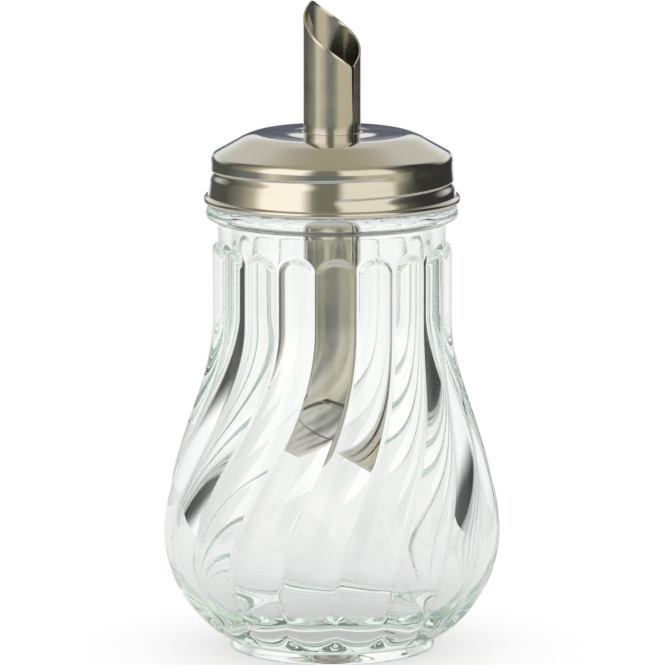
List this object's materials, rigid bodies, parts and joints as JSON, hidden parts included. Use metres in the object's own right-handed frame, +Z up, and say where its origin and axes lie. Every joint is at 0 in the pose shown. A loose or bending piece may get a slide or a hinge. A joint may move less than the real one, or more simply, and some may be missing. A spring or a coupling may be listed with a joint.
{
  "type": "sugar dispenser",
  "caption": "Pear-shaped ribbed glass jar with a steel screw cap; a slanted dosing tube runs through the cap and has a small swinging flap inside the jar.",
  "frame": {"origin": "centre of the foot ring, on the surface that the jar stands on", "axes": "+Z up along the jar and the tube, front of the picture towards -Y, +X to the right in the picture"},
  "size_m": [0.08, 0.0798, 0.1545],
  "materials": {
    "jar_glass": "clear pressed glass with a faint green tint",
    "cap_steel": "thin stainless sheet, bright finish",
    "tube_steel": "rolled stainless sheet, drawn along its length",
    "flap_steel": "punched stainless sheet",
    "pin_steel": "drawn wire with peened ends",
    "seal_plastic": "soft white sealing ring"
  },
  "bodies": {
    "jar": {"glass_jar": "jar_glass"},
    "seal": {"seal_ring": "seal_plastic"},
    "cap": {"screw_cap": "cap_steel", "pour_tube": "tube_steel", "tube_collar": "tube_steel", "flap_pin": "pin_steel"},
    "flap": {"dose_flap": "flap_steel"}
  },
  "joints": [
    {"name": "cap_rise", "type": "slide", "parent": "jar", "child": "seal", "axis": [0, 0, 1], "range_m": [0, 0.00551]},
    {"name": "cap_turn", "type": "hinge", "parent": "seal", "child": "cap", "pos_m": [0, 0, 0.1237], "axis": [0, 0, 1], "range_deg": [0, 450]},
    {"name": "flap_swing", "type": "hinge", "parent": "cap", "child": "flap", "pos_m": [-0.00306, -0.00317, 0.0598], "axis": [0.7193, -0.6947, 0], "range_deg": [0, 55]}
  ],
  "couplings": [
    {"joint": "cap_rise", "follows": "cap_turn", "m_per_rad": 0.00070028}
  ]
}
